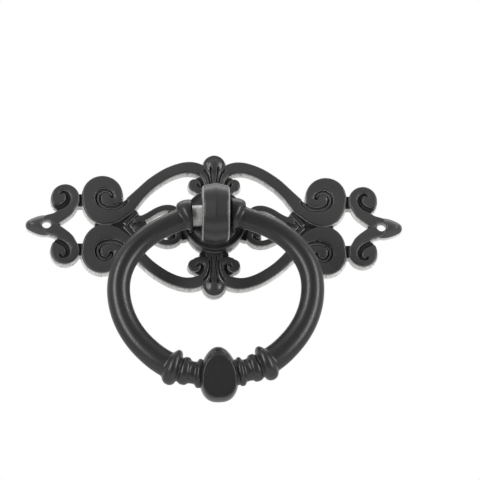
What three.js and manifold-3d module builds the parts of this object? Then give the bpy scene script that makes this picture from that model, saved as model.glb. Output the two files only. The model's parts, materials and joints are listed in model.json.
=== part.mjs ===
// Ring door knocker in an openwork scrolled backplate.
//
// Row frame, millimetres: +Z up, the door lies in the XZ plane behind the part, and the front looks along -Y.
// The origin is on the back of the plate, on the axis of the eye post.
//
// Flat work is drawn in plate axes: x to the right, y up the door, and height h out from the door.
// One group turns plate axes into the row frame: (x, y, h) becomes (x, -h, y).

import * as THREE from "three";
import { mergeVertices } from "three/addons/utils/BufferGeometryUtils.js";
import Module from "manifold-3d";

// ---------------------------------------------------------------- driving dimensions

// backplate
const PLATE_LENGTH = 65; // nose to nose
const PLATE_HEIGHT = 25.6; // finial to finial
const FACE_HEIGHT = 2.6; // front of the scrolls
const CHANNEL_DEPTH = 0.7; // floor of the spiral channels below the scroll face
const RIDGE_DROP = 0.15; // thin strand in each channel, below the scroll face
const DRAFT = 0.2; // how far a wall leans out between its front and the back of the plate
const TIP_HEIGHT = 2.7;
const TIP_HALF_WIDTH = 1.9;
const SCREW_HOLE_RADIUS = 0.9;
const SCREW_PITCH = 57.8; // between the two screw holes
const FINIAL_RADIUS = 1.9;
const FINIAL_LIFT = 1.15; // centre of each finial ball above the back
const BOSS_RADIUS = 4.9;
const BOSS_STEP = 0.45; // width of the ledge round the boss
const BOSS_TOP = 4.3;

// eye post and its fixing
const STUD_RADIUS = 1.5;
const STUD_CLEARANCE = 0.3;
const FLANGE_RADIUS = 5.4;
const FLANGE_THICKNESS = 1.9;
const FLANGE_DOME = 0.6;
const SEAT_GAP = 0.06; // between faces that are clamped together
const PIVOT_STANDOFF = 10.2; // pivot axis above the back of the plate
const EYE_RADIUS = 5.2; // at the ridge round the eye
const EYE_EDGE_RADIUS = 4.75; // at the chamfers
const EYE_WIDTH = 4.7;
const EYE_CHAMFER = 0.35;
const RIVET_RADIUS = 2.5; // of the stud's end, spread flush with the back of the plate
const RIVET_THICKNESS = 1.1;
const WASHER_RADIUS = 3.4;
const WASHER_THICKNESS = 0.8;
const RECESS_CLEARANCE = 0.3; // recess wall to the washer's rim

// ring and its pivot
const PIN_RADIUS = 1.8;
const PIN_TO_EYE = 0.6; // the pin is a very loose fit in the eye
const PIN_SAG = 0.35; // it lies this far below the eye's centre
const PIN_TO_RING = 0.12;
const PIN_END_GAP = 0.15;
const SOCKET_DEPTH = 1.6;
const SIDE_PLAY = 1.9; // how far the ring can move along its pin, eye face to bell face
const REST_GAP = 0.25; // right bell to the eye, as the ring lies
const RING_SKEW_DEG = 2.6; // the loose ring lies this much askew
const BELL_WALL = 0.93; // round the socket
const RING_HALF_WIDTH = 16.7; // pivot centre to the middle of the bar at the side
const RING_DROP = 27.95; // pivot axis to the middle of the knop
const RING_CENTRE_DROP = 12.85; // pivot axis to the widest place
const SHOULDER_DROP = 0.35; // the shoulders' arc tops out this far below the pivot axis
const BELL_LENGTH = 1.6;
const BAR_RADIUS_TOP = 1.8;
const BAR_RADIUS_SIDE = 1.87;
const BAR_RADIUS_LOW = 2.25;
const KNOP_RADIUS = 4.75;
const KNOP_HALF_LENGTH = 3.3;
const COLLAR_RADIUS = 3.15; // large bead either side of the knop

// facets
const ROUND = 24;
const BAR_SIDES = 14;
const CAP_STEPS = 3;

// ---------------------------------------------------------------- solids

const wasm = await Module();
wasm.setup();

// A closed three.js geometry as a solid: shared corners are merged and collapsed faces dropped.
function solid(geometry) {
  const bare = new THREE.BufferGeometry();
  bare.setAttribute("position", geometry.getAttribute("position").clone());
  if (geometry.index) bare.setIndex(geometry.index.clone());
  const merged = mergeVertices(bare, 1e-4);
  const index = merged.index.array;
  const kept = [];
  for (let i = 0; i < index.length; i += 3) {
    const [a, b, c] = [index[i], index[i + 1], index[i + 2]];
    if (a !== b && b !== c && c !== a) kept.push(a, b, c);
  }
  return new wasm.Manifold(
    new wasm.Mesh({
      numProp: 3,
      vertProperties: new Float32Array(merged.attributes.position.array),
      triVerts: new Uint32Array(kept),
    }),
  );
}

function join(solids) {
  return solids.reduce((sum, next) => sum.add(next));
}

function geometryOf(body) {
  const { vertProperties, triVerts, numProp } = body.getMesh();
  const count = vertProperties.length / numProp;
  const places = new Float32Array(count * 3);
  for (let i = 0; i < count; i++) {
    places.set(vertProperties.subarray(i * numProp, i * numProp + 3), i * 3);
  }
  const geometry = new THREE.BufferGeometry();
  geometry.setAttribute("position", new THREE.BufferAttribute(places, 3));
  geometry.setIndex(new THREE.BufferAttribute(new Uint32Array(triVerts), 1));
  geometry.computeVertexNormals();
  return geometry;
}

function part(name, body, material) {
  const mesh = new THREE.Mesh(geometryOf(body), material);
  mesh.name = name;
  return mesh;
}

// A closed body through stacked loops of the same number of points: [{ loop, h }, ...] from the back to the front.
function stacked(levels) {
  const positions = [];
  for (const { loop, h } of levels) {
    for (const p of loop) positions.push(p.x, p.y, h);
  }
  const n = levels[0].loop.length;
  const faces = [];
  for (let k = 0; k + 1 < levels.length; k++) {
    for (let i = 0; i < n; i++) {
      const [a, b] = [k * n + i, k * n + ((i + 1) % n)];
      faces.push(a, b, b + n, a, b + n, a + n);
    }
  }
  const back = THREE.ShapeUtils.triangulateShape(levels[0].loop, []);
  for (const [a, b, c] of back) faces.push(a, c, b);
  const last = (levels.length - 1) * n;
  const front = THREE.ShapeUtils.triangulateShape(levels.at(-1).loop, []);
  for (const [a, b, c] of front) faces.push(last + a, last + b, last + c);
  const geometry = new THREE.BufferGeometry();
  geometry.setAttribute("position", new THREE.Float32BufferAttribute(positions, 3));
  geometry.setIndex(faces);
  return solid(geometry);
}

// A wall with draft from the back of the plate to a flat front. outline(grow) gives the loop, grown by that much.
function drafted(outline, front, lean = DRAFT) {
  return stacked([
    { loop: outline(lean), h: 0 },
    { loop: outline(0), h: front },
  ]);
}

function circle(x, y, radius, steps = ROUND) {
  const loop = [];
  for (let i = 0; i < steps; i++) {
    const a = (2 * Math.PI * i) / steps;
    loop.push(new THREE.Vector2(x + radius * Math.cos(a), y + radius * Math.sin(a)));
  }
  return loop;
}

function disc(x, y, radius, front, lean = DRAFT, steps = 16) {
  return drafted((grow) => circle(x, y, radius + grow, steps), front, lean);
}

// A turned shape about the h axis, from a profile of [radius, h] that starts and ends on the axis.
function turned(profile, steps = ROUND) {
  const lathe = new THREE.LatheGeometry(
    profile.map(([r, h]) => new THREE.Vector2(r, h)),
    steps,
  );
  return lathe.rotateX(Math.PI / 2);
}

// A cylinder along the h axis, from one height to another, and the same as a solid with its axis at x.
function rodGeometry(radius, from, to, steps = ROUND) {
  const cylinder = new THREE.CylinderGeometry(radius, radius, to - from, steps);
  return cylinder.rotateX(Math.PI / 2).translate(0, 0, (from + to) / 2);
}

function rod(radius, from, to, x = 0) {
  return solid(rodGeometry(radius, from, to).translate(x, 0, 0));
}

// A cylinder along x, its axis at height h.
function crossRod(radius, from, to, h = 0) {
  return solid(rodGeometry(radius, from, to).rotateY(Math.PI / 2).translate(0, 0, h));
}

// ---------------------------------------------------------------- bands of the scrollwork

// The scrollwork is drawn for one quarter of a plate of this size, and stretched to the plate's own size.
const DRAWN = { length: 65, height: 25.6 };
const stretch = new THREE.Vector2(PLATE_LENGTH / DRAWN.length, PLATE_HEIGHT / DRAWN.height);

// Points [x, y, half width] along the middle of a band become a smooth run of stations.
function stations(points, steps) {
  const curve = new THREE.CatmullRomCurve3(
    points.map(([x, y, w]) => new THREE.Vector3(x * stretch.x, y * stretch.y, w)),
    false,
    "centripetal",
  );
  return curve.getPoints(steps);
}

// The loop round a band, with round ends.
function bandLoop(run, grow) {
  const left = [];
  const right = [];
  const way = run.map((_, i) => {
    const [a, b] = [run[Math.max(i - 1, 0)], run[Math.min(i + 1, run.length - 1)]];
    return Math.atan2(b.y - a.y, b.x - a.x);
  });
  run.forEach((p, i) => {
    const w = p.z + grow;
    const [nx, ny] = [-Math.sin(way[i]) * w, Math.cos(way[i]) * w];
    left.push(new THREE.Vector2(p.x + nx, p.y + ny));
    right.push(new THREE.Vector2(p.x - nx, p.y - ny));
  });
  const cap = (p, start) => {
    const points = [];
    for (let k = 1; k < CAP_STEPS; k++) {
      const a = start + (Math.PI * k) / CAP_STEPS;
      points.push(
        new THREE.Vector2(p.x + (p.z + grow) * Math.cos(a), p.y + (p.z + grow) * Math.sin(a)),
      );
    }
    return points;
  };
  const endCap = cap(run.at(-1), way.at(-1) - Math.PI / 2);
  const startCap = cap(run[0], way[0] + Math.PI / 2);
  return [...right, ...endCap, ...left.reverse(), ...startCap];
}

function band(points, steps, front, lean = DRAFT) {
  const run = stations(points, steps);
  return drafted((grow) => bandLoop(run, grow), front, lean);
}

// A spiral round a centre, as band points: radius(turn) and half width(turn) over turn = 0..1.
function spiral([cx, cy], fromDeg, toDeg, count, radius, halfWidth) {
  const points = [];
  for (let i = 0; i <= count; i++) {
    const t = i / count;
    const a = THREE.MathUtils.degToRad(fromDeg + (toDeg - fromDeg) * t);
    points.push([cx + radius(t) * Math.cos(a), cy + radius(t) * Math.sin(a), halfWidth(t)]);
  }
  return points;
}

const mix = (a, b, t) => a + (b - a) * t;

const channelFloor = FACE_HEIGHT - CHANNEL_DEPTH;
const ridgeTop = FACE_HEIGHT - RIDGE_DROP;

// Large scroll: a broad coil, the channel inside it, and its eye with the neck that feeds it.
const COIL_CENTRE = [18.95, 4.8];
function largeScroll() {
  const coil = spiral(
    COIL_CENTRE, 180, -100, 12,
    (t) => 2.3 + 0.55 * Math.sin(Math.min(t * 3.2, 1) * Math.PI / 2) + 0.5 * t ** 4,
    (t) => 0.6 + 0.5 * Math.sin(Math.min(t * 2.6, 1) * Math.PI / 2),
  );
  return join([
    band(coil, 15, FACE_HEIGHT),
    disc(COIL_CENTRE[0] * stretch.x, COIL_CENTRE[1] * stretch.y, 0.95, FACE_HEIGHT, 0.05),
    band([[18.0, 4.5, 0.45], [17.2, 4.5, 0.5], [16.75, 4.9, 0.5]], 6, FACE_HEIGHT, 0.05),
    disc(COIL_CENTRE[0] * stretch.x, COIL_CENTRE[1] * stretch.y, 2.4, channelFloor),
    band([[18.2, 3.2, 1.1], [16.4, 3.7, 0.8]], 4, channelFloor),
  ]);
}

// Arm: from under the large scroll, up over the arch, and down to a small curl beside the finial's stem.
const ARM = [
  [19.6, 1.45, 1.1], [17.6, 1.55, 1.0], [15.9, 2.35, 1.0], [14.75, 3.5, 1.15], [13.85, 4.6, 1.05],
  [12.7, 5.9, 0.92], [11.15, 7.4, 0.9], [9.6, 8.55, 0.9], [8.06, 9.43, 0.9], [6.5, 10.03, 0.9],
  [4.98, 10.3, 0.9], [3.5, 10.15, 0.92], [2.3, 9.5, 0.8], [1.45, 8.5, 0.55], [1.05, 7.4, 0.4],
  [1.3, 6.5, 0.42], [2.1, 6.05, 0.45], [3.0, 6.4, 0.6],
];
function arm() {
  return join([
    band(ARM, 22, FACE_HEIGHT),
    disc(3.4 * stretch.x, 7.15 * stretch.y, 1.02, FACE_HEIGHT),
    disc(2.4 * stretch.x, 7.4 * stretch.y, 1.3, channelFloor),
  ]);
}

// Small scroll: springs from the tip, rolls over and ends in a lobe.
function smallScroll() {
  return join([
    band(
      [
        [27.9, 0.75, 0.8], [26.6, 1.3, 0.72], [25.5, 2.05, 0.66], [24.6, 3.1, 0.7], [24.2, 4.5, 0.74],
        [24.65, 5.8, 0.66], [25.8, 6.45, 0.56], [26.9, 6.0, 0.62], [27.25, 4.95, 0.82],
      ],
      14, FACE_HEIGHT,
    ),
    disc(25.9 * stretch.x, 4.4 * stretch.y, 1.35, channelFloor),
  ]);
}

// Bar that ties the small scroll to the large one.
function tieBar() {
  const [cx, cy] = [23.1 * stretch.x, 4.4 * stretch.y];
  const outline = (grow) => {
    const [hx, hy] = [1.0 * stretch.x + grow, 1.15 + grow];
    return [
      new THREE.Vector2(cx - hx, cy - hy),
      new THREE.Vector2(cx + hx, cy - hy),
      new THREE.Vector2(cx + hx, cy + hy),
      new THREE.Vector2(cx - hx, cy + hy),
    ];
  };
  return drafted(outline, channelFloor);
}

// Half of the heart beside the boss: a thin band that leaves the point of the heart and curls in.
function heart() {
  return join([
    band(
      [
        [13.4, 0.75, 0.45], [11.7, 1.5, 0.42], [9.9, 2.6, 0.4], [8.4, 3.15, 0.4], [7.0, 3.0, 0.42],
        [6.15, 2.1, 0.45], [6.4, 1.1, 0.42], [7.35, 1.0, 0.42], [7.7, 1.7, 0.45],
      ],
      15, FACE_HEIGHT,
    ),
    disc(7.0 * stretch.x, 1.9 * stretch.y, 1.1, channelFloor),
    disc(5.4 * stretch.x, 1.3 * stretch.y, 1.2, channelFloor),
  ]);
}

// Everything that is drawn once and mirrored into the four quarters.
function quarter() {
  return join([largeScroll(), arm(), smallScroll(), tieBar(), heart()]);
}

// ---------------------------------------------------------------- pieces on the plate's axes of symmetry

function mirroredLoop(half) {
  const points = half.map(([x, y]) => [x * stretch.x, y * stretch.y]);
  const below = points.filter(([, y]) => y > 0).map(([x, y]) => [x, -y]);
  return [...points, ...below.reverse()];
}

// A flat piece on the long axis, from the upper half of its outline, nose first.
function onLongAxis(half, front) {
  const loop = mirroredLoop(half).map(([x, y]) => new THREE.Vector2(x, y));
  if (THREE.ShapeUtils.isClockWise(loop)) loop.reverse();
  return stacked([
    { loop, h: 0 },
    { loop, h: front },
  ]);
}

// Tip: a rounded nose with steep sides, swelling from the back of the plate.
function tip() {
  const half = PLATE_LENGTH / 2;
  const length = 6.4;
  const rounded = (shrink) => {
    const loop = [];
    for (let i = 0; i < ROUND; i++) {
      const a = (2 * Math.PI * i) / ROUND;
      const taper = 1 - 0.2 * Math.cos(a);
      const x = half - length / 2 + (length / 2 - shrink) * Math.cos(a);
      loop.push(new THREE.Vector2(x, (TIP_HALF_WIDTH - shrink) * taper * Math.sin(a)));
    }
    return loop;
  };
  return stacked([
    { loop: rounded(0), h: 0 },
    { loop: rounded(0.15), h: TIP_HEIGHT * 0.55 },
    { loop: rounded(0.38), h: TIP_HEIGHT * 0.85 },
    { loop: rounded(0.8), h: TIP_HEIGHT },
  ]);
}

// Stepped chevrons where the scrolls are strapped together, and the web between the two large scrolls.
function chevrons() {
  const web = [[21.0, 0], [20.6, 0.55], [17.6, 0.7], [15.6, 1.5], [13.8, 2.7], [12.9, 1.6], [12.0, 0.9], [12.0, 0]];
  const arrow = [[14.25, 0], [12.9, 1.35], [12.3, 0.9], [12.3, 0]];
  const strap = [[13.75, 2.0, 0.36], [15.4, 0, 0.36], [13.75, -2.0, 0.36]];
  const bend = strap.map(([x, y, w]) => new THREE.Vector3(x * stretch.x, y * stretch.y, w));
  const legs = [bend.slice(0, 2), bend.slice(1, 3)];
  return join([
    onLongAxis(web, channelFloor),
    onLongAxis(arrow, ridgeTop),
    ...legs.map((leg) => drafted((grow) => bandLoop(leg, grow), ridgeTop, 0)),
  ]);
}

// Finial: a ball on a fluted stem that runs down to the boss.
function finial() {
  const reach = PLATE_HEIGHT / 2 - FINIAL_RADIUS;
  const ball = solid(
    new THREE.SphereGeometry(FINIAL_RADIUS, 16, 10).translate(0, reach, FINIAL_LIFT),
  );
  const behind = solid(
    new THREE.BoxGeometry(4 * FINIAL_RADIUS, 4 * FINIAL_RADIUS, 4).translate(0, reach, -2),
  );
  const top = reach / stretch.y;
  const stem = [[0, top, 1.3], [0, top - 1.6, 0.95], [0, top - 3.2, 0.5], [0, top - 5.2, 0.55], [0, 3.6, 1.3]];
  return join([
    ball.subtract(behind),
    band(stem, 8, FACE_HEIGHT - 0.1),
    band([[0, top - 1.2, 1.7], [0, 4.2, 1.5]], 4, channelFloor),
  ]);
}

function boss() {
  return join([
    disc(0, 0, BOSS_RADIUS, FACE_HEIGHT, DRAFT, ROUND),
    disc(0, 0, BOSS_RADIUS - BOSS_STEP, BOSS_TOP, 0, ROUND),
  ]);
}

const mirrorX = (body) => solid(flipped(body, -1, 1));
const mirrorY = (body) => solid(flipped(body, 1, -1));

// A mirrored copy, with its faces turned back to point out.
function flipped(body, sx, sy) {
  const geometry = geometryOf(body);
  geometry.scale(sx, sy, 1);
  const index = geometry.index.array;
  for (let i = 0; i < index.length; i += 3) {
    [index[i + 1], index[i + 2]] = [index[i + 2], index[i + 1]];
  }
  return geometry;
}

// Heights behind the boss, from the back of the plate: the riveted end, the washer, and the recess they lie in.
const washerBack = RIVET_THICKNESS + SEAT_GAP;
const recessRoof = washerBack + WASHER_THICKNESS + SEAT_GAP;

function backplate() {
  const one = quarter();
  const right = join([one, mirrorY(one), tip(), chevrons()]);
  const top = finial();
  const body = join([right, mirrorX(right), top, mirrorY(top), boss()]);
  const recess = rod(WASHER_RADIUS + RECESS_CLEARANCE, -1, recessRoof);
  const studHole = rod(STUD_RADIUS + STUD_CLEARANCE, -1, BOSS_TOP + 1);
  const screwHoles = [-1, 1].map((side) => rod(SCREW_HOLE_RADIUS, -1, TIP_HEIGHT + 1, (side * SCREW_PITCH) / 2));
  return [recess, studHole, ...screwHoles].reduce((sum, cut) => sum.subtract(cut), body);
}

// ---------------------------------------------------------------- eye post and its washer

// The eye is a barrel about the pivot axis, with a ridge round its middle and chamfered edges.
function eyeBarrel() {
  const half = EYE_WIDTH / 2;
  const barrel = turned([
    [0, -half], [EYE_EDGE_RADIUS - EYE_CHAMFER, -half], [EYE_EDGE_RADIUS, -half + EYE_CHAMFER],
    [EYE_RADIUS, 0], [EYE_EDGE_RADIUS, half - EYE_CHAMFER], [EYE_EDGE_RADIUS - EYE_CHAMFER, half], [0, half],
  ]);
  return solid(barrel.rotateY(Math.PI / 2).translate(0, 0, PIVOT_STANDOFF));
}

function eyePost() {
  const back = BOSS_TOP + SEAT_GAP;
  const front = back + FLANGE_THICKNESS;
  const flange = turned([
    [0, back], [FLANGE_RADIUS - 0.25, back], [FLANGE_RADIUS, back + 0.25], [FLANGE_RADIUS, front - 0.3],
    [FLANGE_RADIUS - 0.3, front], [FLANGE_RADIUS - 0.8, front], [FLANGE_RADIUS - 1.6, front + FLANGE_DOME * 0.6],
    [FLANGE_RADIUS - 3, front + FLANGE_DOME], [0, front + FLANGE_DOME],
  ]);
  const stud = turned([
    [0, 0], [RIVET_RADIUS - 0.3, 0], [RIVET_RADIUS, 0.3], [RIVET_RADIUS, RIVET_THICKNESS],
    [STUD_RADIUS, RIVET_THICKNESS], [STUD_RADIUS, back + 0.5], [0, back + 0.5],
  ]);
  const bore = crossRod(PIN_RADIUS + PIN_TO_EYE, -EYE_WIDTH, EYE_WIDTH, PIVOT_STANDOFF);
  return join([solid(flange), solid(stud), eyeBarrel()]).subtract(bore);
}

function rearWasher() {
  const blank = rod(WASHER_RADIUS, washerBack, washerBack + WASHER_THICKNESS);
  return blank.subtract(rod(STUD_RADIUS + STUD_CLEARANCE, washerBack - 1, recessRoof + 1));
}

// ---------------------------------------------------------------- ring

const bellGap = EYE_WIDTH + SIDE_PLAY; // between the two bell faces
const ringMiddle = -(SIDE_PLAY / 2 - REST_GAP); // the ring lies over to the left, its right bell by the eye

// Middle of the bar: out of the right bell, over the shoulder, down the side and in to the knop, then mirrored.
function ringCurve() {
  const side = (deg) => {
    const a = THREE.MathUtils.degToRad(deg);
    const reach = deg > 0 ? RING_CENTRE_DROP - SHOULDER_DROP : RING_DROP - RING_CENTRE_DROP;
    return new THREE.Vector3(RING_HALF_WIDTH * Math.cos(a), reach * Math.sin(a) - RING_CENTRE_DROP, 0);
  };
  const right = [new THREE.Vector3(bellGap / 2, 0, 0), new THREE.Vector3(bellGap / 2 + BELL_LENGTH, 0, 0)];
  for (let deg = 62; deg >= -90; deg -= 9.5) right.push(side(deg));
  const left = right.slice(0, -1).map((p) => new THREE.Vector3(-p.x, p.y, 0));
  return new THREE.CatmullRomCurve3([...right, ...left.reverse()], false, "centripetal");
}

// Radius of the bar along it, as [distance from the end or from the knop's middle, radius].
const bellRadius = PIN_RADIUS + PIN_TO_RING + BELL_WALL;
const BELL_PROFILE = [
  [0, bellRadius - 0.25], [0.3, bellRadius], [SOCKET_DEPTH - 0.2, bellRadius], [SOCKET_DEPTH + 0.3, bellRadius - 0.2],
  [SOCKET_DEPTH + 0.8, mix(BAR_RADIUS_TOP, bellRadius, 0.35)], [SOCKET_DEPTH + 1.8, BAR_RADIUS_TOP],
];
const MOULDINGS = [
  [3.4, 2.5], [3.9, 2.5], [4.1, 1.95], [5.1, 1.95], [5.3, 2.4], [6.2, 2.4], [6.6, 2.1],
  [7.0, 2.8], [7.5, COLLAR_RADIUS], [8.2, COLLAR_RADIUS], [8.7, 2.7], [8.9, BAR_RADIUS_LOW],
];

function knopProfile() {
  const points = [];
  for (let i = 0; i <= 5; i++) {
    const t = i / 5;
    const s = KNOP_HALF_LENGTH * Math.sin((t * Math.PI) / 2);
    points.push([s, Math.max(KNOP_RADIUS * Math.cos((t * Math.PI) / 2) ** 0.75, 2.1)]);
  }
  return points;
}

// The whole half profile, from the bell to the knop, in distance along the bar.
function barProfile(half) {
  const low = [...knopProfile(), ...MOULDINGS.map(([s, r]) => [s, r])];
  const start = BELL_PROFILE.at(-1)[0];
  const end = half - low.at(-1)[0];
  const plain = [];
  const steps = 13;
  for (let i = 1; i < steps; i++) {
    const t = i / steps;
    const r = t < 0.5
      ? mix(BAR_RADIUS_TOP, BAR_RADIUS_SIDE, Math.sin(t * Math.PI))
      : mix(BAR_RADIUS_SIDE, BAR_RADIUS_LOW, 1 - Math.sin(t * Math.PI));
    plain.push([mix(start, end, t), r]);
  }
  return [...BELL_PROFILE, ...plain, ...low.reverse().map(([s, r]) => [half - s, r])];
}

// A straight turned bar, bent round the ring's path.
function bentBar(curve) {
  const length = curve.getLength();
  const half = barProfile(length / 2);
  const whole = [[0, half[0][0]], ...half.map(([s, r]) => [r, s])];
  const mirrored = half.slice(0, -1).reverse().map(([s, r]) => [r, length - s]);
  const profile = [...whole, ...mirrored, [0, length]];
  const bar = new THREE.LatheGeometry(profile.map(([r, s]) => new THREE.Vector2(r, s)), BAR_SIDES);
  const place = bar.getAttribute("position");
  for (let i = 0; i < place.count; i++) {
    const u = THREE.MathUtils.clamp(place.getY(i) / length, 0, 1);
    const middle = curve.getPointAt(u);
    const way = curve.getTangentAt(u);
    const [out, across] = [place.getX(i), place.getZ(i)];
    place.setXYZ(i, middle.x + way.y * out, middle.y - way.x * out, across);
  }
  return solid(bar);
}

const pinHalf = bellGap / 2 + SOCKET_DEPTH - PIN_END_GAP;

function ring() {
  const reach = bellGap / 2 + SOCKET_DEPTH;
  const socket = crossRod(PIN_RADIUS + PIN_TO_RING, -reach, reach);
  return bentBar(ringCurve()).subtract(socket);
}

function pivotPin() {
  const chamfer = 0.3;
  const pin = turned([
    [0, -pinHalf], [PIN_RADIUS - chamfer, -pinHalf], [PIN_RADIUS, -pinHalf + chamfer],
    [PIN_RADIUS, pinHalf - chamfer], [PIN_RADIUS - chamfer, pinHalf], [0, pinHalf],
  ]);
  return solid(pin.rotateY(Math.PI / 2));
}

// ---------------------------------------------------------------- finishes and assembly

const blackEnamel = new THREE.MeshStandardMaterial({ color: 0x3a393b, roughness: 0.45, metalness: 0.2 });
const blackRing = new THREE.MeshStandardMaterial({ color: 0x353436, roughness: 0.35, metalness: 0.2 });
const bareSteel = new THREE.MeshStandardMaterial({ color: 0xb9bab6, roughness: 0.4, metalness: 1 });

const knocker = new THREE.Group();

// Plate axes to the row frame.
const onDoor = new THREE.Group();
onDoor.rotation.x = Math.PI / 2;
knocker.add(onDoor);
onDoor.add(
  part("backplate", backplate(), blackEnamel),
  part("eye_post", eyePost(), blackEnamel),
  part("rear_washer", rearWasher(), bareSteel),
);

// The ring and its pin hang on the pivot axis, a little askew.
const swing = new THREE.Group();
swing.position.set(0, -PIN_SAG, PIVOT_STANDOFF);
swing.rotation.z = THREE.MathUtils.degToRad(RING_SKEW_DEG);
onDoor.add(swing);
for (const piece of [part("ring", ring(), blackRing), part("pivot_pin", pivotPin(), bareSteel)]) {
  piece.position.x = ringMiddle;
  swing.add(piece);
}

export default knocker;
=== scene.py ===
"""Ring door knocker on an openwork scrolled backplate, in satin black over cast metal."""
import json
import math

import bpy
import numpy as np
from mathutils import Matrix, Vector


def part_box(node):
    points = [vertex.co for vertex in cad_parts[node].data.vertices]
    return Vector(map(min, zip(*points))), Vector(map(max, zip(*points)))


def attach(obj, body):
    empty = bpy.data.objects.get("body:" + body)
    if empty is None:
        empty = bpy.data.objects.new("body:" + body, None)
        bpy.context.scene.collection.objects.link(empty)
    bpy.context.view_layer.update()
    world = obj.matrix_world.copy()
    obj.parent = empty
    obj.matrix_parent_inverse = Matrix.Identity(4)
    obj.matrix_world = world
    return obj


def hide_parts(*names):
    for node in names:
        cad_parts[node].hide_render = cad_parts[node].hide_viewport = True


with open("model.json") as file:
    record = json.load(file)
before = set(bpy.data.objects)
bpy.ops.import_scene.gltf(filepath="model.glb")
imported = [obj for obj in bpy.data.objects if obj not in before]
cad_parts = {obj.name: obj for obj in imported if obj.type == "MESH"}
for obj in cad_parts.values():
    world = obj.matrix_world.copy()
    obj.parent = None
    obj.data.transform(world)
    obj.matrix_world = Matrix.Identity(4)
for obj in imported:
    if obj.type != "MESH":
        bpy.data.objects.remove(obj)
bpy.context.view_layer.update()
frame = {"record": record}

MM = 0.001

# ---------------------------------------------------------- places taken from the frame

plate_low, plate_high = (Vector(corner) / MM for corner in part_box("backplate"))
post_high = Vector(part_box("eye_post")[1]) / MM
pin_low, pin_high = (Vector(corner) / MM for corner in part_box("pivot_pin"))
washer_low, washer_high = (Vector(corner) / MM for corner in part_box("rear_washer"))
joints = frame["record"]["behaviour"]["joints"]
swing = next(joint for joint in joints if joint["type"] == "hinge")

HALF_LENGTH = plate_high.x
HALF_HEIGHT = plate_high.z
PIVOT = Vector(swing["pos_m"]) / MM
PIN_AXIS = Vector(swing["axis"]).normalized()
STANDOFF = -PIVOT.y
BOSS_TOP = -plate_low.y

# ---------------------------------------------------------- sizes of the finished pieces, mm

FACE = 2.6  # height of the scrolls' front above the back of the plate
GROOVE_FLOOR = 1.75
EDGE = 0.22  # rounding of a cast edge
LEAN = 0.22  # how far a wall leans out from the back to the front
TIP_TOP = 2.75
TIP_ROUNDING = 0.5
SCREW_X = 28.9
SCREW_RADIUS = 0.82
SCREW_SINK = 0.25
FINIAL_RADIUS = 2.15
FINIAL_HEIGHT = 0.75
BOSS_RADIUS = 4.9
LEDGES = [(0.3, FACE + 0.7), (0.6, BOSS_TOP)]  # inset from the boss's rim, and height
SEAT_GAP = 0.06  # between faces that are clamped together
RECESS_RADIUS = 3.7
RECESS_DEPTH = -washer_low.y + SEAT_GAP
STUD_HOLE_RADIUS = 1.8
STUD_RADIUS = 1.5

FLANGE_RADIUS = post_high.x
FLANGE_THICKNESS = 1.9
FLANGE_DOME = 0.6
FLANGE_LINE_RADIUS = 4.75
EYE_RADIUS = 5.2
EYE_HALF_WIDTH = 2.35
EYE_RIDGE = 0.5  # how much smaller the eye is at its sides
EYE_CHAMFER = 0.24
EYE_BORE = 2.4
NECK_HALF_WIDTH = 2.1
NECK_HALF_DEPTH = 4.25
NECK_MIDDLE = 8.0
NECK_REACH = 2.6
RIVET_RADIUS = 2.5
RIVET_THICKNESS = 1.1

RING_SHIFT = -0.7  # of the ring's middle along the pin, as it hangs
RING_DROP = 27.95  # from the pin to the middle of the knop
RING_CENTRE = 12.85  # from the pin to the ring's widest place
RING_HALF_LEFT = 16.4
RING_HALF_RIGHT = 16.7
BAR_RADIUS = 1.84  # just below a bell
BELL_FACE = 3.3  # from the ring's middle to a bell's face
SOCKET_RADIUS = 1.92
SOCKET_DEPTH = 1.6

KNOP_HALF_WIDTH = 3.38
KNOP_HALF_DEPTH = 4.5
KNOP_HALF_HEIGHT = 4.67
FACET_OUT = 3.2  # of the knop's flat facet from the ring's plane
FACET_SLOPE = 0.3

PIN_RADIUS = 1.8
PIN_CHAMFER = 0.28
PIN_END_GAP = 0.08
WASHER_ROUNDING = 0.15

# how fine the meshes are: grid steps in mm, triangles to keep, and divisions
PLATE_STEP = 0.095
PLATE_RISE = 0.16
PLATE_TRIANGLES = 185000
POST_STEP = 0.11
POST_TRIANGLES = 110000
KNOP_STEP = 0.1
BAR_STATIONS = 520
BAR_SIDES = 72
TURNED_SIDES = 96


# ---------------------------------------------------------- meshes

def make_piece(name, points, faces, material):
    """A smooth mesh object from points in mm and faces."""
    mesh = bpy.data.meshes.new(name)
    mesh.from_pydata([tuple(p) for p in np.asarray(points) * MM], [], [tuple(f) for f in faces])
    mesh.validate()
    mesh.materials.append(material)
    mesh.polygons.foreach_set("use_smooth", [True] * len(mesh.polygons))
    piece = bpy.data.objects.new(name, mesh)
    bpy.context.collection.objects.link(piece)
    return piece


def smooth_max(a, b, radius):
    """What two fields have in common, with its edge rounded by radius."""
    pa, pb = a + radius, b + radius
    inside = np.minimum(np.maximum(pa, pb), 0)
    return inside + np.hypot(np.maximum(pa, 0), np.maximum(pb, 0)) - radius


def smooth_min(a, b, radius):
    """Two fields as one, with a fillet of about radius."""
    h = np.clip(0.5 + 0.5 * (b - a) / radius, 0, 1)
    return b + (a - b) * h - radius * h * (1 - h)


JUST_INSIDE = -1e-3  # field value, in mm, of a corner that is filled


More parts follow.
